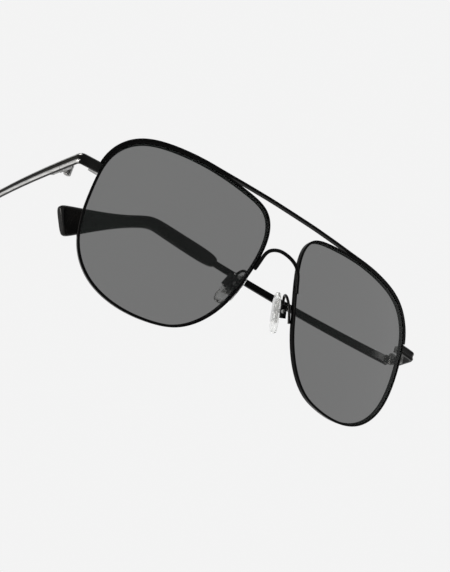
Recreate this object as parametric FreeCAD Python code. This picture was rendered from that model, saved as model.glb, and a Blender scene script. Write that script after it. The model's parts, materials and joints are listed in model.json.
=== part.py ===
import FreeCAD, Part
import math
import os
from FreeCAD import Vector

# Metal aviator sunglasses: two grooved eye wires with tinted lenses, a flat brow
# bar, a bridge wire, adjustable nose pads and two hinged temples with plastic tips.
# Lengths are millimetres and angles degrees.  X points to the wearer's left, Y
# backwards and Z up.  Pieces are drawn with the lens centres at height zero, on
# the wearer's left side, and mirrored for the right.  The finished set is moved so
# that the origin is the middle of its box, on the surface it stands on.
# At rest the right temple is open and the left temple is folded in.

os.makedirs("parts", exist_ok=True)

# ---- lenses and eye wires ----
lens_width = 56.0
bridge_gap = 15.3
lens_centre_x = bridge_gap / 2 + lens_width / 2
form_radius = 160.0
form_centre = Vector(15.5, 159.7, 2.3)
lens_thickness = 1.4
rim_wall = 0.8
rim_depth = 1.9
rim_chamfer = 0.15
groove_depth = 0.3
groove_play = 0.02
rim_stations = 72

# lens opening, outward and up from the lens centre, starting at the outer side
LENS_OUTLINE = [
    (27.9, 6.1), (26.0, 15.5), (21.2, 21.5), (8.9, 25.5), (-17.2, 25.0),
    (-24.7, 22.9), (-24.8, -1.1), (-23.7, -4.6), (-23.1, -6.5), (-8.3, -24.4),
    (-3.3, -25.7), (20.2, -21.2), (24.9, -15.5), (28.0, -0.1),
]

# ---- brow bar and bridge wire ----
bar_height = 0.9
bar_depth = 1.9
bar_chamfer = 0.15
bar_gap = 0.03
bar_first_station = 2
bar_last_station = 17
bar_crown = Vector(0, 0.95, 27.7)
bar_places = (26.5, 20.0, 13.0, 6.5)
bar_back = 0.0016
bar_drop = 0.0003
wire_gap = 0.02
bridge_radius = 0.6
BRIDGE_SIDE = [(8.82, -1.73, 3.0), (7.7, -1.75, 6.8), (6.0, -1.65, 10.6), (2.9, -1.3, 12.6)]
bridge_crown = Vector(0, -0.7, 13.3)

# ---- endpieces and hinges ----
temple_tilt = 6.4
hinge_pivot = Vector(69.5, 17.3, 8.2)
hinge_to_face = 3.25
strip_thickness = 1.2
strip_height = 3.4
endpiece_corner_back = 9.8
endpiece_bend = 2.2
endpiece_front = 8.5
endpiece_rake = 6.0
split_gap = 0.1
knuckle_radius = 1.15
knuckle_height = 1.0
middle_knuckle_height = 1.3
knuckle_gap = 0.05
leaf_clearance = 0.1
front_leaf_length = 4.5
rear_leaf_length = 7.5
leaf_shoulder = 1.6
screw_radius = 0.6
screw_fit = 0.01
screw_play = 0.04
screw_head_radius = 0.95
screw_head_height = 0.35
screw_slot = 0.3

# ---- temples ----
open_angle = -7.9
folded_angle = 83.8
bow_radius = 507.0
bend_at = 107.5
bend_angle = 30.0
bend_radius = 14.0
temple_taper = 0.0149
core_height = 1.5
core_end = 134.0
sleeve_overlap = 1.0
sleeve_rise = 0.35
sleeve_thickness = 2.7
core_play = 0.02

# sleeve: distance from the hinge, height, share of the full thickness
SLEEVE = [
    (80.0, 2.9, 0.8), (81.6, 4.1, 1), (84.5, 4.8, 1), (89.0, 5.0, 1), (96.0, 4.8, 1),
    (103.0, 4.5, 1), (108.0, 4.1, 1), (113.5, 3.9, 1), (119.0, 4.3, 1), (124.0, 5.2, 1),
    (129.5, 6.6, 1), (135.0, 8.2, 1), (138.4, 9.1, 1), (139.9, 9.1, 0.97), (140.6, 8.5, 0.86),
    (140.9, 7.3, 0.62),
]

# ---- rim lock ----
lock_split_z = 8.8
lock_split = 0.12
lock_inner_x = 63.5
lock_outer_x = 66.5
lock_front_y = 8.1
lock_depth = 2.1
lock_upper_height = 1.4
lock_lower_height = 0.7
lock_screw_x = 65.7
lock_screw_radius = 0.45
lock_head_radius = 0.75
lock_head_height = 0.3

# ---- nose pads ----
pad_centre = Vector(9.2, 7.4, -2.55)
pad_long = Vector(-0.322, -0.167, 0.932)
pad_facing = Vector(-0.888, 0.395, -0.236)
pad_length = 13.4
pad_width = 6.4
pad_squareness = 0.6
core_plate = (7.6, 3.4, 0.6)
stud_up = 0.7
stud_back = 2.1
stud_width = 1.1
stud_radius = 0.72
stud_play = 0.06
box_length = 4.4
box_width = 3.2
box_front = 0.8
box_back = 1.2
box_floor = 0.4
box_end_wall = 0.6
pad_screw_radius = 0.4
pad_screw_head_radius = 0.65
pad_screw_head_height = 0.3
arm_radius = 0.45
ARM_PATH = [
    (11.15, 0.8, -6.2), (10.05, 0.85, -3.0), (8.95, 1.5, 0.3), (8.45, 3.1, 2.6),
    (8.9, 4.8, 3.1), (9.78, 5.88, 1.75), (10.1, 6.06, 0.75),
]

# pad thickness levels towards the nose, with the share of the full outline
PAD_LEVELS = [(-0.8, 0.9), (-0.55, 0.99), (0.1, 1.0), (0.6, 0.93), (0.95, 0.75), (1.1, 0.4)]


# ================= helpers =================

def form_point(x, z, rise):
    """Point at (x, z) on the spherical front, moved outwards by rise."""
    dx = x - form_centre.x
    dz = z - form_centre.z
    dy = math.sqrt(form_radius ** 2 - dx ** 2 - dz ** 2)
    base = Vector(x, form_centre.y - dy, z)
    outward = (base - form_centre).normalize()
    return base + outward * rise


def smooth_edge(points, closed=False):
    """Smooth edge through evenly numbered points."""
    count = len(points) + (1 if closed else 0)
    numbers = [i / (count - 1) for i in range(count)]
    curve = Part.BSplineCurve()
    curve.interpolate(Points=points, Parameters=numbers, PeriodicFlag=closed)
    return curve.toShape()


def sewn(faces):
    """Solid from faces that share their edges."""
    shell = Part.makeShell(faces)
    shell.sewShape()
    solid = Part.makeSolid(Part.Shell(shell.Faces))
    solid.fix(1e-4, 1e-4, 1e-4)
    if solid.Volume < 0:
        solid.reverse()
    return solid


def skin(sections, closed=False):
    """Solid whose edges run smoothly through matching corners of the sections."""
    corners = len(sections[0])
    rails = [smooth_edge([s[j] for s in sections], closed) for j in range(corners)]
    faces = []
    for j in range(corners):
        faces.append(Part.makeRuledSurface(rails[j], rails[(j + 1) % corners]))
    if not closed:
        for section in (sections[0], sections[-1]):
            faces.append(Part.makeFilledFace(Part.makePolygon(section + section[:1]).Edges))
    return sewn(faces)


def tube(points, radius):
    """Round wire along a smooth path."""
    curve = Part.BSplineCurve()
    curve.interpolate(Points=[Vector(p) for p in points])
    path = curve.toShape()
    start = path.valueAt(path.FirstParameter)
    along = path.tangentAt(path.FirstParameter)
    ring = Part.Wire(Part.Circle(start, along, radius).toShape())
    return Part.Wire(path).makePipeShell([ring], True, False)


def plate(corners, low, high):
    """Flat plate from corners seen from above, between two heights."""
    outline = [Vector(x, y, low) for x, y in corners]
    face = Part.Face(Part.makePolygon(outline + outline[:1]))
    return face.extrude(Vector(0, 0, high - low))


def mirror_x(point):
    return Vector(-point.x, point.y, point.z)


def mirrored(shape):
    return shape.mirror(Vector(0, 0, 0), Vector(1, 0, 0))


# ================= lenses and eye wires =================

def lens_places():
    """Evenly spaced places round the lens opening, each with its outward direction."""
    points = [Vector(lens_centre_x + x, 0, z) for x, z in LENS_OUTLINE]
    overlap = 4
    curve = Part.BSplineCurve()
    curve.interpolate(Points=points[-overlap:] + points + points[:overlap + 1])
    knots = curve.getKnots()
    edge = curve.toShape(knots[overlap], knots[-1 - overlap])
    places = []
    for i in range(rim_stations):
        where = edge.getParameterByLength(edge.Length * i / rim_stations)
        along = edge.tangentAt(where)
        places.append((edge.valueAt(where), Vector(along.z, 0, -along.x)))
    return places


def form_section(place, profile):
    """Corners (outward offset, rise) of a profile set up at one place."""
    point, outward = place
    corners = []
    for offset, rise in profile:
        moved = point + outward * offset
        corners.append(form_point(moved.x, moved.z, rise))
    return corners


def plug(places, offset):
    """Solid that fills the lens outline widened by offset, right through the front."""
    wires = []
    for plane_y in (-2.5, 11.5):
        points = []
        for place in places:
            edge = form_section(place, [(offset, 0)])[0]
            reach = (plane_y - form_centre.y) / (edge.y - form_centre.y)
            points.append(form_centre + (edge - form_centre) * reach)
        wires.append(Part.Wire(smooth_edge(points, True)))
    return Part.makeLoft(wires, True, True)


def make_rim(places):
    half = rim_depth / 2
    groove = lens_thickness / 2 + groove_play
    c = rim_chamfer
    w = rim_wall
    profile = [
        (0, half - c), (c, half), (w - c, half), (w, half - c),
        (w, c - half), (w - c, -half), (c, -half), (0, c - half),
        (0, -groove), (groove_depth, -groove), (groove_depth, groove), (0, groove),
    ]
    ring = skin([form_section(place, profile) for place in places], True)
    corner = Vector(lock_inner_x - 3, 2, lock_split_z - lock_split / 2)
    return ring.cut(Part.makeBox(6, 12, lock_split, corner))


def make_lens(places):
    outer = Part.makeSphere(form_radius + lens_thickness / 2, form_centre)
    inner = Part.makeSphere(form_radius - lens_thickness / 2, form_centre)
    blank = plug(places, groove_depth - groove_play)
    return blank.common(outer).cut(inner)


def make_brow_bar(places):
    """Flat wire along the top of both rims and nearly straight across between them."""
    low = rim_wall + bar_gap
    high = low + bar_height
    half = bar_depth / 2
    c = bar_chamfer
    profile = [
        (low, c - half), (low, half - c), (low + c, half), (high - c, half),
        (high, half - c), (high, c - half), (high - c, -half), (low + c, -half),
    ]
    middle = (low + high) / 2
    left = [form_section(p, profile) for p in places[bar_first_station:bar_last_station + 1]]
    for x in bar_places:
        base = bar_crown + Vector(x, bar_back * x ** 2, -bar_drop * x ** 2)
        left.append([base + Vector(0, -rise, offset - middle) for offset, rise in profile])
    right = [[mirror_x(p) for p in section] for section in reversed(left)]
    return skin(left + right)


def make_bridge_wire():
    side = [Vector(p) for p in BRIDGE_SIDE]
    other = [mirror_x(p) for p in reversed(side)]
    return tube(side + [bridge_crown] + other, bridge_radius)


# ================= temples =================

def temple_axes(s):
    """Directions along, up and inwards at distance s, temple pointing straight back."""
    heading = min(s, bend_at) / bow_radius
    half_bend = bend_radius * math.radians(bend_angle) / 2
    share = (s - bend_at + half_bend) / (2 * half_bend)
    pitch = math.radians(bend_angle) * min(max(share, 0), 1)
    level = Vector(-math.sin(heading), math.cos(heading), 0)
    along = level * math.cos(pitch) - Vector(0, 0, math.sin(pitch))
    up = level * math.sin(pitch) + Vector(0, 0, math.cos(pitch))
    inward = Vector(-math.cos(heading), -math.sin(heading), 0)
    return along, up, inward


def temple_point(s):
    """Middle of the temple's outer face at distance s from the hinge."""
    point = Vector(hinge_to_face, 0, 0)
    steps = 120
    for i in range(steps):
        point = point + temple_axes(s * (i + 0.5) / steps)[0] * (s / steps)
    return point


def strip_profile(height):
    """Strip section (depth, rise): bevelled outer edges with a channel between."""
    k = height / strip_height
    top = height / 2
    back = strip_thickness
    return [
        (0.4, top), (0.0, top - 0.5 * k), (0.0, 0.78 * k), (0.18, 0.66 * k),
        (0.18, -0.66 * k), (0.0, -0.78 * k), (0.0, 0.5 * k - top), (0.4, -top),
        (back - 0.1, -top), (back, 0.1 - top), (back, top - 0.1), (back - 0.1, top),
    ]


def plain_profile(height, play):
    """Rectangular section around the middle of the strip."""
    top = height / 2 + play
    front = 0.2 - play
    back = strip_thickness - 0.1 + play
    return [(front, top), (front, -top), (back, -top), (back, top)]


def temple_section(s, profile):
    base = temple_point(s)
    up, inward = temple_axes(s)[1:]
    return [base + inward * depth + up * rise for depth, rise in profile]


def spread(start, end, count):
    return [start + (end - start) * i / count for i in range(count + 1)]


def strip_height_at(s):
    return strip_height - temple_taper * s


def make_core(start, play):
    """Wire that runs through the plastic tip."""
    profile = plain_profile(core_height, play)
    return skin([temple_section(s, profile) for s in spread(start, core_end + play, 22)])


def make_temple():
    end = SLEEVE[0][0] + sleeve_overlap
    places = spread(split_gap / 2, end, 12)
    strip = skin([temple_section(s, strip_profile(strip_height_at(s))) for s in places])
    return strip.fuse(make_core(end - 0.5, 0))


def rounded_ring(s, height, thickness, sides=20):
    """Corners of a rounded rectangle across the temple."""
    base = temple_point(s)
    up, inward = temple_axes(s)[1:]
    middle = base + inward * (strip_thickness / 2) + up * sleeve_rise
    ring = []
    for k in range(sides):
        turn = 2 * math.pi * (k + 0.5) / sides
        across = math.copysign(abs(math.cos(turn)) ** 0.6, math.cos(turn))
        rise = math.copysign(abs(math.sin(turn)) ** 0.6, math.sin(turn))
        ring.append(middle + inward * (across * thickness / 2) + up * (rise * height / 2))
    return ring


def make_temple_tip():
    """Plastic sleeve that flares into a paddle, bored for the temple's wire."""
    start = SLEEVE[0][0]
    rings = []
    for s, height, share in SLEEVE:
        rings.append(rounded_ring(s, height, sleeve_thickness * share))
    socket = []
    for s in (start - 1, start, start + sleeve_overlap + core_play):
        socket.append(temple_section(s, plain_profile(strip_height_at(s), 0.25)))
    return skin(rings).cut(make_core(start, core_play)).cut(skin(socket))


# ================= hinges and endpieces =================

def leaf_span():
    return knuckle_radius + leaf_clearance, hinge_to_face - strip_thickness


def make_hinge_front():
    """Leaf on the endpiece with the upper and lower knuckles."""
    inner, outer = leaf_span()
    top = strip_height / 2 - 0.1
    start = -split_gap / 2
    tail = start - front_leaf_length
    shape = plate([(outer, start), (inner, start), (inner, tail + 0.8), (outer, tail)], -top, top)
    inside = middle_knuckle_height / 2 + knuckle_gap
    for low in (inside, -inside - knuckle_height):
        high = low + knuckle_height
        barrel = Part.makeCylinder(knuckle_radius, knuckle_height, Vector(0, 0, low))
        reach = inner + 0.1
        web = plate([(0, -knuckle_radius), (0, start), (reach, start), (reach, -knuckle_radius)], low, high)
        shape = shape.fuse(barrel).fuse(web)
    return shape.cut(Part.makeCylinder(screw_radius + screw_fit, 8, Vector(0, 0, -4)))


def make_hinge_rear():
    """Leaf on the temple with the middle knuckle."""
    inner, outer = leaf_span()
    top = strip_height / 2 - 0.1
    start = split_gap / 2
    step = start + leaf_shoulder
    head = plate([(outer, start), (inner, start), (inner, step), (outer, step)], -top, top)
    tail = plate(
        [(outer, step), (inner, step), (inner, rear_leaf_length - 2), (outer, rear_leaf_length)],
        0.35 - top, top - 0.35)
    half = middle_knuckle_height / 2
    barrel = Part.makeCylinder(knuckle_radius, 2 * half, Vector(0, 0, -half))
    reach = inner + 0.1
    web = plate([(0, start), (0, knuckle_radius), (reach, knuckle_radius), (reach, start)], -half, half)
    shape = head.fuse(tail).fuse(barrel).fuse(web)
    return shape.cut(Part.makeCylinder(screw_radius + screw_play, 8, Vector(0, 0, -4)))


def make_hinge_screw():
    half = middle_knuckle_height / 2 + knuckle_gap + knuckle_height
    seat = half + screw_fit
    foot = -half - 0.25
    shank = Part.makeCylinder(screw_radius, seat - foot, Vector(0, 0, foot))
    head = Part.makeCylinder(screw_head_radius, screw_head_height, Vector(0, 0, seat))
    top = seat + screw_head_height
    slot = Part.makeBox(screw_slot, 3, 0.2, Vector(-screw_slot / 2, -1.5, top - 0.2))
    return shank.fuse(head).cut(slot)


def make_endpiece():
    """Strip that leaves the rim sideways and bends back to the hinge."""
    turn = math.radians(90 + open_angle - endpiece_rake)
    corner = Vector(hinge_to_face, -endpiece_corner_back, 0)
    reach = endpiece_bend * math.tan(turn / 2)
    centre = corner + Vector(-endpiece_bend, reach, 0)
    places = [
        (Vector(hinge_to_face, -split_gap / 2, 0), Vector(-1, 0, 0)),
        (corner + Vector(0, reach + 1, 0), Vector(-1, 0, 0)),
    ]
    for i in range(9):
        angle = turn * i / 8
        inward = Vector(-math.cos(angle), math.sin(angle), 0)
        places.append((centre - inward * endpiece_bend, inward))
    to_rim = Vector(-math.sin(turn), -math.cos(turn), 0)
    places.append((corner + to_rim * endpiece_front, places[-1][1]))
    wires = []
    for base, inward in places:
        corners = [base + inward * d + Vector(0, 0, h) for d, h in strip_profile(strip_height)]
        wires.append(Part.makePolygon(corners + corners[:1]))
    return Part.makeLoft(wires, True, True)


def make_lock():
    """Split block that clamps the rim round the lens, with its screw."""
    y = lock_front_y + lock_depth / 2
    length = lock_outer_x - lock_inner_x
    heights = {
        "rim_lock_upper": (lock_split_z + lock_split / 2, lock_upper_height),
        "rim_lock_lower": (lock_split_z - lock_split / 2 - lock_lower_height, lock_lower_height),
    }
    bore = Part.makeCylinder(lock_screw_radius + screw_fit, 12, Vector(lock_screw_x, y, 2))
    pieces = {}
    for name, (low, height) in heights.items():
        block = Part.makeBox(length, lock_depth, height, Vector(lock_inner_x, lock_front_y, low))
        pieces[name] = block.cut(bore)
    foot = heights["rim_lock_lower"][0]
    seat = heights["rim_lock_upper"][0] + lock_upper_height + screw_fit
    shank = Part.makeCylinder(lock_screw_radius, seat - foot, Vector(lock_screw_x, y, foot))
    head = Part.makeCylinder(lock_head_radius, lock_head_height, Vector(lock_screw_x, y, seat))
    top = seat + lock_head_height
    slot = Part.makeBox(2, screw_slot, 0.2, Vector(lock_screw_x - 1, y - screw_slot / 2, top - 0.2))
    pieces["rim_lock_screw"] = shank.fuse(head).cut(slot)
    return pieces


def on_hinge(shape, angle):
    """Set a hinge-frame shape at the left hinge, swung inwards by angle."""
    placed = shape.copy()
    placed.rotate(Vector(0, 0, 0), Vector(0, 0, 1), angle)
    placed.rotate(Vector(0, 0, 0), Vector(1, 0, 0), -temple_tilt)
    placed.translate(hinge_pivot)
    return placed


# ================= nose pads =================

def pad_axes():
    """Width, length and facing directions of the left pad."""
    length = Vector(pad_long).normalize()
    facing = Vector(pad_facing)
    facing = (facing - length * facing.dot(length)).normalize()
    return length.cross(facing), length, facing


def on_pad(shape, up, back):
    """Set a pad-frame shape at the left pad; its local X, Y, Z are width, length, facing."""
    width, length, facing = pad_axes()
    origin = pad_centre + length * up - facing * back
    matrix = FreeCAD.Matrix(
        width.x, length.x, facing.x, origin.x,
        width.y, length.y, facing.y, origin.y,
        width.z, length.z, facing.z, origin.z, 0, 0, 0, 1)
    placed = shape.copy()
    placed.Placement = FreeCAD.Placement(matrix)
    return placed


def core_plate_at(play):
    long, wide, thick = core_plate
    corner = Vector(-wide / 2 - play, stud_up - long / 2 - play, -thick / 2 - 0.2 - play)
    return Part.makeBox(wide + 2 * play, long + 2 * play, thick + 2 * play, corner)


def stud_stem(play):
    low = -stud_back
    corner = Vector(-stud_width / 2 - play, stud_up - stud_radius - play, low)
    return Part.makeBox(stud_width + 2 * play, 2 * (stud_radius + play), stud_back, corner)


def make_nose_pad():
    """Soft pad with a domed face, moulded round the core plate."""
    sides = 24
    levels = []
    for level, share in PAD_LEVELS:
        ring = []
        for k in range(sides):
            turn = 2 * math.pi * k / sides
            x = math.copysign(abs(math.cos(turn)) ** pad_squareness, math.cos(turn))
            y = math.copysign(abs(math.sin(turn)) ** pad_squareness, math.sin(turn))
            narrow = 1 - 0.12 * y
            ring.append(Vector(x * narrow * share * pad_width / 2, y * share * pad_length / 2, level))
        levels.append(ring)
    return skin(levels).cut(core_plate_at(core_play)).cut(stud_stem(core_play))


def make_pad_core():
    """Metal plate inside the pad with the drilled stud behind it."""
    pivot = Vector(-stud_width / 2, stud_up, -stud_back)
    eye = Part.makeCylinder(stud_radius, stud_width, pivot, Vector(1, 0, 0))
    bore = Part.makeCylinder(
        pad_screw_radius + screw_play, 4, Vector(-2, stud_up, -stud_back), Vector(1, 0, 0))
    return core_plate_at(0).fuse(stud_stem(0)).fuse(eye).cut(bore)


def make_pad_box():
    """Channel that carries the pad's stud; local origin on the pad screw."""
    body = Part.makeBox(
        box_width, box_length, box_front + box_back,
        Vector(-box_width / 2, -box_length / 2, -box_back))
    slot_width = stud_width + 2 * stud_play
    slot = Part.makeBox(
        slot_width, box_length, 4,
        Vector(-slot_width / 2, -box_length / 2 - box_end_wall, box_floor - box_back))
    bore = Part.makeCylinder(pad_screw_radius + screw_fit, 6, Vector(-3, 0, 0), Vector(1, 0, 0))
    return body.cut(slot).cut(bore)


def make_pad_screw():
    x = Vector(1, 0, 0)
    seat = box_width / 2 + screw_fit
    shank = Part.makeCylinder(pad_screw_radius, seat + box_width / 2, Vector(-box_width / 2, 0, 0), x)
    head = Part.makeCylinder(pad_screw_head_radius, pad_screw_head_height, Vector(seat, 0, 0), x)
    return shank.fuse(head)


# ================= assembly =================

def build():
    places = lens_places()
    edge = plug(places, rim_wall + wire_gap)
    endpiece = on_hinge(make_endpiece(), open_angle).cut(edge)
    sides = {
        "rim": make_rim(places),
        "lens": make_lens(places),
        "endpiece": endpiece,
        "hinge_front": on_hinge(make_hinge_front(), open_angle),
        "hinge_screw": on_hinge(make_hinge_screw(), open_angle),
        "pad_box": on_pad(make_pad_box(), stud_up, stud_back),
        "pad_screw": on_pad(make_pad_screw(), stud_up, stud_back),
        "pad_arm": tube(ARM_PATH, arm_radius),
        "pad_core": on_pad(make_pad_core(), 0, 0),
        "nose_pad": on_pad(make_nose_pad(), 0, 0),
    }
    for name, shape in make_lock().items():
        sides[name] = shape if name == "rim_lock_screw" else shape.cut(edge)
    parts = {}
    for name, shape in sides.items():
        parts[name + "_left"] = shape
        parts[name + "_right"] = mirrored(shape)
    temple = make_temple()
    swinging = {
        "temple": temple,
        "temple_tip": make_temple_tip(),
        "hinge_rear": make_hinge_rear().cut(temple),
    }
    for name, shape in swinging.items():
        parts[name + "_left"] = on_hinge(shape, folded_angle)
        parts[name + "_right"] = mirrored(on_hinge(shape, open_angle))
    bar = make_brow_bar(places)
    parts["brow_bar"] = bar.cut(endpiece).cut(mirrored(endpiece))
    parts["bridge_wire"] = make_bridge_wire()
    return parts


def base_centre(shapes):
    """Middle of the set's box, at its lowest height."""
    points = []
    for shape in shapes:
        points.extend(shape.tessellate(0.05)[0])
    xs = [p.x for p in points]
    ys = [p.y for p in points]
    return Vector((min(xs) + max(xs)) / 2, (min(ys) + max(ys)) / 2, min(p.z for p in points))


parts = build()
origin = base_centre(parts.values())
for name, shape in parts.items():
    shape.translate(origin * -1)
    shape.exportStep("parts/" + name + ".step")
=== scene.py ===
import json
import math

import bpy
from mathutils import Matrix, Vector


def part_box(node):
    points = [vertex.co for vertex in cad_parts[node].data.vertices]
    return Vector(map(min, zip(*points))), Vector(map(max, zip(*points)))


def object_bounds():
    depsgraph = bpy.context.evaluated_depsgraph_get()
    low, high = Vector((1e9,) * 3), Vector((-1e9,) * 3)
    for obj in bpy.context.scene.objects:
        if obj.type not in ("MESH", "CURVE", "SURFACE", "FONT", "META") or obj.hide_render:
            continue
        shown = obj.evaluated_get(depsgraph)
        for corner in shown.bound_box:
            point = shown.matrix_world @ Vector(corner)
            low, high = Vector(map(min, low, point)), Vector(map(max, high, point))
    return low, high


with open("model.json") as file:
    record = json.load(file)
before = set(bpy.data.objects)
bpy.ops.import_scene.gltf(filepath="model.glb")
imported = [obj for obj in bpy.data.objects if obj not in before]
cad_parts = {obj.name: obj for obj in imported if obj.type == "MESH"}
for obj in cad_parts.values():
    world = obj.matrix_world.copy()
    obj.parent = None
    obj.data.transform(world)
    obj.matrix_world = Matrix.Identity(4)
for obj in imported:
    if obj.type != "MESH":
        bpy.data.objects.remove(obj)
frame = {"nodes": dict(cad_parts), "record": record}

# Aviator sunglasses.  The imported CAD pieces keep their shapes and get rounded
# edges, smooth shading and materials here.  Lengths are metres in the frame's axes.

cad_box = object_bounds()
MM = 0.001
nodes = frame["nodes"]

# ---- camera, placed from the middle of the front ----
LENS_MM = 61.4
SHIFT = (-0.0354, -0.0133)
CAMERA_OFFSET = Vector((-152.1, -243.5, -131.2)) * MM
LOOK = Vector((0.4719, 0.8120, 0.3435))
ROLL = math.radians(19.1)
CLIP_START = 0.01
CLIP_END = 20

# ---- stage; the object stands clear of the floor, as in the photo ----
FLOOR_DROP = 0.16
FLOOR_HALF = 4
FLOOR_ROUGHNESS = 0.8
BACKDROP = (0.9, 0.9, 0.9)
BACKDROP_STRENGTH = 1.0

# Each light's place from the object's centre, its size, its watts and its colour.
LIGHTS = {
    "key": (Vector((-0.5, 0.2, 1.0)), (0.6, 0.6), 3, (1, 1, 1)),
    "side": (Vector((-0.9, -0.25, -0.1)), (0.5, 0.5), 14, (1, 0.95, 0.9)),
}

# ---- materials ----
SPREAD_FROM = (0.3, 0.7)
TINT_FROM = (0.35, 0.65)
BRUSHED = (1, 0.15, 4)
FINE_DEPTH = 0.004 * MM
FINE_STRENGTH = 0.2
PAD_DEPTH = 0.04 * MM
PAD_STRENGTH = 0.25
PAD_TRANSMISSION = 0.85
PAD_IOR = 1.42
# A ray crosses both faces of a lens, so it keeps (1 - LENS_ALPHA) squared.
LENS_ALPHA = 0.575

# ---- edges and shading ----
WELD_DISTANCE = 0.002 * MM
EDGE_SEGMENTS = 2
SHARP_DEGREES = 32
SPLIT_MARGIN_DEGREES = 4
NORMAL_WEIGHT = 50
# Radius in mm of the rounded edges, by the first word of a piece's name.
EDGE = {
    "rim": 0.06, "brow": 0.05, "bridge": 0.0, "lens": 0.0, "endpiece": 0.05,
    "hinge": 0.05, "temple": 0.04, "pad": 0.05, "nose": 0.0,
}
TIP_EDGE = 0.5

# ---- the strips' outside: painted highlights as polished bevels and bare ridges, painted shade as a black channel ----
STRIP_HEIGHT = 3.4 * MM
STRIP_TAPER = 0.0149
TILT = math.radians(6.4)
STRIP_UP = Vector((0, math.sin(TILT), math.cos(TILT)))
FACING = 0.5
# The strips' outside faces get painted light: a painted highlight on the bevels and
# ridges, painted shade in the channel.
OUTSIDE_PAINTED_LIGHT = ("painted_highlight_edge", "bare_metal", "painted_shade_channel")
BEVEL_INDEX = 1
RIDGE_INDEX = 2
CHANNEL_INDEX = 3
# Shares of the strip's height, from its middle line, where these two start.
BEVEL_FROM = 0.355
RIDGE_FROM = 0.25
# Where the outside of each temple and endpiece faces; the left temple is folded.
OUTSIDES = {
    "right": (Vector((-1, 0, 0)), Vector((-1, 0, 0))),
    "left": (Vector((0, 1, 0)), Vector((1, 0, 0))),
}


# ================= materials =================

def shader(name, colour, metallic, roughness, gloss=0.5):
    """A material and its main shader; gloss is the strength of its highlights."""
    material = bpy.data.materials.new(name)
    material.use_nodes = True
    bsdf = material.node_tree.nodes["Principled BSDF"]
    bsdf.inputs["Base Color"].default_value = (*colour, 1)
    bsdf.inputs["Metallic"].default_value = metallic
    bsdf.inputs["Roughness"].default_value = roughness
    bsdf.inputs["Specular IOR Level"].default_value = gloss
    return material, bsdf


def noise(material, scale, detail=3, stretch=None):
    """Noise in object space; scale counts its features per metre."""
    tree = material.node_tree
    place = tree.nodes.new("ShaderNodeTexCoord")
    texture = tree.nodes.new("ShaderNodeTexNoise")
    texture.inputs["Scale"].default_value = scale
    texture.inputs["Detail"].default_value = detail
    if stretch:
        mapping = tree.nodes.new("ShaderNodeMapping")
        mapping.inputs["Scale"].default_value = stretch
        tree.links.new(place.outputs["Object"], mapping.inputs["Vector"])
        tree.links.new(mapping.outputs["Vector"], texture.inputs["Vector"])
    else:
        tree.links.new(place.outputs["Object"], texture.inputs["Vector"])
    return texture.outputs["Fac"]


def spread(material, bsdf, source, low, high):
    """Vary the roughness between low and high with a 0 to 1 source."""
    tree = material.node_tree
    remap = tree.nodes.new("ShaderNodeMapRange")
    remap.inputs["From Min"].default_value = SPREAD_FROM[0]
    remap.inputs["From Max"].default_value = SPREAD_FROM[1]
    remap.inputs["To Min"].default_value = low
    remap.inputs["To Max"].default_value = high
    tree.links.new(source, remap.inputs["Value"])
    tree.links.new(remap.outputs["Result"], bsdf.inputs["Roughness"])


def tint(material, bsdf, source, dark, light):
    """Vary the colour between dark and light with a 0 to 1 source."""
    tree = material.node_tree
    ramp = tree.nodes.new("ShaderNodeValToRGB")
    ramp.color_ramp.elements[0].position = TINT_FROM[0]
    ramp.color_ramp.elements[0].color = (*dark, 1)
    ramp.color_ramp.elements[1].position = TINT_FROM[1]
    ramp.color_ramp.elements[1].color = (*light, 1)
    tree.links.new(source, ramp.inputs["Fac"])
    tree.links.new(ramp.outputs["Color"], bsdf.inputs["Base Color"])


def rough_up(material, bsdf, source, depth=FINE_DEPTH, strength=FINE_STRENGTH):
    """Bump the surface by a source."""
    tree = material.node_tree
    bump = tree.nodes.new("ShaderNodeBump")
    bump.inputs["Distance"].default_value = depth
    bump.inputs["Strength"].default_value = strength
    tree.links.new(source, bump.inputs["Height"])
    tree.links.new(bump.outputs["Normal"], bsdf.inputs["Normal"])


def black_metal():
    """Gloss black plating."""
    material, bsdf = shader("black_metal", (0.001, 0.001, 0.001), 0.0, 0.2, 0.035)
    cloud = noise(material, 220)
    tint(material, bsdf, cloud, (0.0005, 0.0005, 0.0005), (0.0015, 0.0015, 0.0015))
    spread(material, bsdf, cloud, 0.12, 0.24)
    rough_up(material, bsdf, noise(material, 1200))
    return material


def dark_metal():
    """Dark gunmetal with fine lengthwise brushing."""
    material, bsdf = shader("dark_metal", (0.009, 0.009, 0.009), 1.0, 0.22)
    cloud = noise(material, 160)
    tint(material, bsdf, cloud, (0.006, 0.006, 0.006), (0.013, 0.013, 0.0125))
    grain = noise(material, 900, 4, BRUSHED)
    spread(material, bsdf, grain, 0.16, 0.3)
    rough_up(material, bsdf, grain)
    return material


def painted_shade_channel():
    """Painted shade: matt black in the strips' channels, a shaded copy of their dark
    metal.
    """
    material, bsdf = shader("painted_shade_channel", (0.004, 0.004, 0.004), 0.0, 0.45, 0.02)
    cloud = noise(material, 600)
    tint(material, bsdf, cloud, (0.002, 0.002, 0.002), (0.007, 0.007, 0.006))
    spread(material, bsdf, cloud, 0.35, 0.55)
    return material


def painted_highlight_edge():
    """Painted highlight: polished bright metal on the bevels of the dark strips, a lit
    copy of their dark metal.
    """
    material, bsdf = shader("painted_highlight_edge", (0.6, 0.6, 0.59), 1.0, 0.16)
    grain = noise(material, 700, 4, BRUSHED)
    tint(material, bsdf, grain, (0.36, 0.36, 0.35), (0.62, 0.62, 0.61))
    spread(material, bsdf, grain, 0.12, 0.26)
    return material


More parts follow.
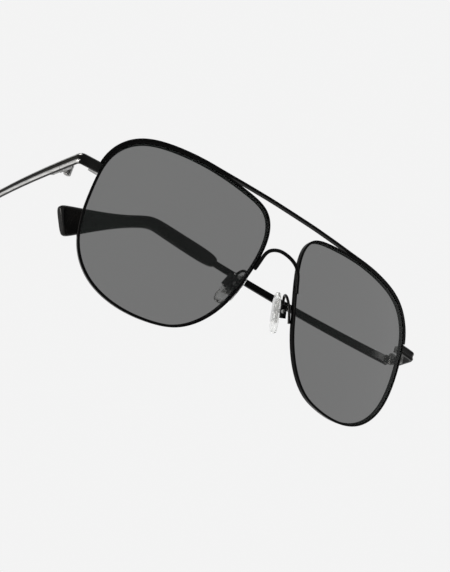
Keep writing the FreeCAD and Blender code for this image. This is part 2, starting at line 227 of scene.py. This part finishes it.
def bare_metal():
    """Bare steel of the hinges, locks and screws; on the strips' ridges it is a painted
    highlight.
    """
    material, bsdf = shader("bare_metal", (0.25, 0.25, 0.245), 1.0, 0.25)
    cloud = noise(material, 700)
    tint(material, bsdf, cloud, (0.17, 0.17, 0.166), (0.33, 0.33, 0.325))
    spread(material, bsdf, noise(material, 2500), 0.18, 0.36)
    rough_up(material, bsdf, noise(material, 1500))
    return material


def tinted_lens():
    """Polished grey lens with a very faint cloud in the tint."""
    material, bsdf = shader("tinted_lens", (0.003, 0.003, 0.003), 0.0, 0.03, 0.15)
    bsdf.inputs["Alpha"].default_value = LENS_ALPHA
    cloud = noise(material, 25, 2)
    tint(material, bsdf, cloud, (0.002, 0.0028, 0.0025), (0.004, 0.0055, 0.005))
    spread(material, bsdf, noise(material, 60, 2), 0.02, 0.05)
    return material


def clear_pad():
    """Clear soft plastic."""
    material, bsdf = shader("clear_pad", (0.95, 0.96, 0.95), 0.0, 0.12)
    bsdf.inputs["Transmission Weight"].default_value = PAD_TRANSMISSION
    bsdf.inputs["IOR"].default_value = PAD_IOR
    cloud = noise(material, 300, 2)
    tint(material, bsdf, cloud, (0.93, 0.94, 0.93), (0.98, 0.985, 0.98))
    spread(material, bsdf, cloud, 0.06, 0.14)
    rough_up(material, bsdf, noise(material, 250, 1), PAD_DEPTH, PAD_STRENGTH)
    return material


def black_plastic():
    """Polished black acetate tips with faint wear."""
    material, bsdf = shader("black_plastic", (0.003, 0.003, 0.003), 0.0, 0.18, 0.12)
    cloud = noise(material, 180)
    tint(material, bsdf, cloud, (0.0015, 0.0015, 0.0015), (0.005, 0.0045, 0.004))
    spread(material, bsdf, cloud, 0.14, 0.26)
    rough_up(material, bsdf, noise(material, 900))
    return material


FINISHES = {
    "black_metal": black_metal(),
    "painted_shade_channel": painted_shade_channel(),
    "painted_highlight_edge": painted_highlight_edge(),
    "dark_metal": dark_metal(),
    "bare_metal": bare_metal(),
    "tinted_lens": tinted_lens(),
    "clear_pad": clear_pad(),
    "black_plastic": black_plastic(),
}


# ================= CAD pieces =================

def finish(piece, slot):
    """Give a piece one material and smooth faces."""
    piece.data.materials.clear()
    piece.data.materials.append(FINISHES[slot])
    for face in piece.data.polygons:
        face.use_smooth = True
        face.material_index = 0


def edge_radius(name):
    if name.startswith("temple_tip"):
        return TIP_EDGE * MM
    return EDGE[name.split("_")[0]] * MM


def soften(piece, radius):
    """Weld the CAD mesh, round its sharp edges and shade it smoothly."""
    weld = piece.modifiers.new("weld", "WELD")
    weld.merge_threshold = WELD_DISTANCE
    if radius:
        bevel = piece.modifiers.new("edges", "BEVEL")
        bevel.width = radius
        bevel.segments = EDGE_SEGMENTS
        bevel.limit_method = "ANGLE"
        bevel.angle_limit = math.radians(SHARP_DEGREES)
        bevel.use_clamp_overlap = True
        bevel.harden_normals = False
    split = piece.modifiers.new("corners", "EDGE_SPLIT")
    split.split_angle = math.radians(SHARP_DEGREES + SPLIT_MARGIN_DEGREES)
    shade = piece.modifiers.new("normals", "WEIGHTED_NORMAL")
    shade.keep_sharp = False
    shade.weight = NORMAL_WEIGHT


def paint_light_outside(piece, middle, outward):
    """Paint light on the outside faces by each face's height on the strip: painted
    highlights on the bevels and ridges, painted shade in the channel.
    """
    for name in OUTSIDE_PAINTED_LIGHT:
        piece.data.materials.append(FINISHES[name])
    for face in piece.data.polygons:
        if face.normal.dot(outward) > FACING:
            arm = face.center - middle
            height = STRIP_HEIGHT - STRIP_TAPER * arm.length
            rise = abs(arm.dot(STRIP_UP)) / height
            if rise > BEVEL_FROM:
                face.material_index = BEVEL_INDEX
            elif rise > RIDGE_FROM:
                face.material_index = RIDGE_INDEX
            else:
                face.material_index = CHANNEL_INDEX


SLOTS = {part["node"]: part["material_slot"] for part in frame["record"]["subparts"]}
for name, node in nodes.items():
    finish(node, SLOTS[name])
    soften(node, edge_radius(name))
# Paint highlights and shade onto the outside faces of the temples and endpieces.
for side, (temple_outward, endpiece_outward) in OUTSIDES.items():
    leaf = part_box("hinge_front_" + side)
    middle = (leaf[0] + leaf[1]) / 2
    paint_light_outside(nodes["temple_" + side], middle, temple_outward)
    paint_light_outside(nodes["endpiece_" + side], middle, endpiece_outward)


# ================= stage, lights and camera =================

def add_floor():
    low = cad_box[0].z - FLOOR_DROP
    corners = [
        (-FLOOR_HALF, -FLOOR_HALF, low),
        (FLOOR_HALF, -FLOOR_HALF, low),
        (FLOOR_HALF, FLOOR_HALF, low),
        (-FLOOR_HALF, FLOOR_HALF, low),
    ]
    mesh = bpy.data.meshes.new("floor")
    mesh.from_pydata(corners, [], [(0, 1, 2, 3)])
    floor = bpy.data.objects.new("floor", mesh)
    bpy.context.scene.collection.objects.link(floor)
    material, bsdf = shader("floor", BACKDROP, 0.0, FLOOR_ROUGHNESS)
    mesh.materials.append(material)


def add_world():
    """An even backdrop; the Standard view keeps it as pale as in the photo."""
    world = bpy.data.worlds.new("studio")
    bpy.context.scene.world = world
    world.use_nodes = True
    background = world.node_tree.nodes["Background"]
    background.inputs["Color"].default_value = (*BACKDROP, 1)
    background.inputs["Strength"].default_value = BACKDROP_STRENGTH
    bpy.context.scene.view_settings.view_transform = "Standard"


def add_light(name, place, target, size, power, colour):
    data = bpy.data.lights.new(name, "AREA")
    data.color = colour
    data.shape = "RECTANGLE"
    data.size, data.size_y = size
    data.energy = power
    light = bpy.data.objects.new(name, data)
    light.location = place
    light.rotation_mode = "QUATERNION"
    light.rotation_quaternion = (target - place).to_track_quat("-Z", "Y")
    bpy.context.scene.collection.objects.link(light)


def add_camera():
    left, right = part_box("rim_left"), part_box("rim_right")
    front = Vector(((left[1].x + right[0].x) / 2, left[0].y, left[1].z))
    data = bpy.data.cameras.new("camera")
    data.lens = LENS_MM
    data.shift_x, data.shift_y = SHIFT
    data.clip_start = CLIP_START
    data.clip_end = CLIP_END
    camera = bpy.data.objects.new("camera", data)
    bpy.context.scene.collection.objects.link(camera)
    camera.location = front + CAMERA_OFFSET
    camera.rotation_mode = "QUATERNION"
    turn = LOOK.to_track_quat("-Z", "Y")
    camera.rotation_quaternion = turn @ Matrix.Rotation(ROLL, 3, "Z").to_quaternion()
    bpy.context.scene.camera = camera


add_floor()
add_world()
centre = (cad_box[0] + cad_box[1]) / 2
for name, (offset, size, power, colour) in LIGHTS.items():
    add_light(name, centre + offset, centre, size, power, colour)
add_camera()
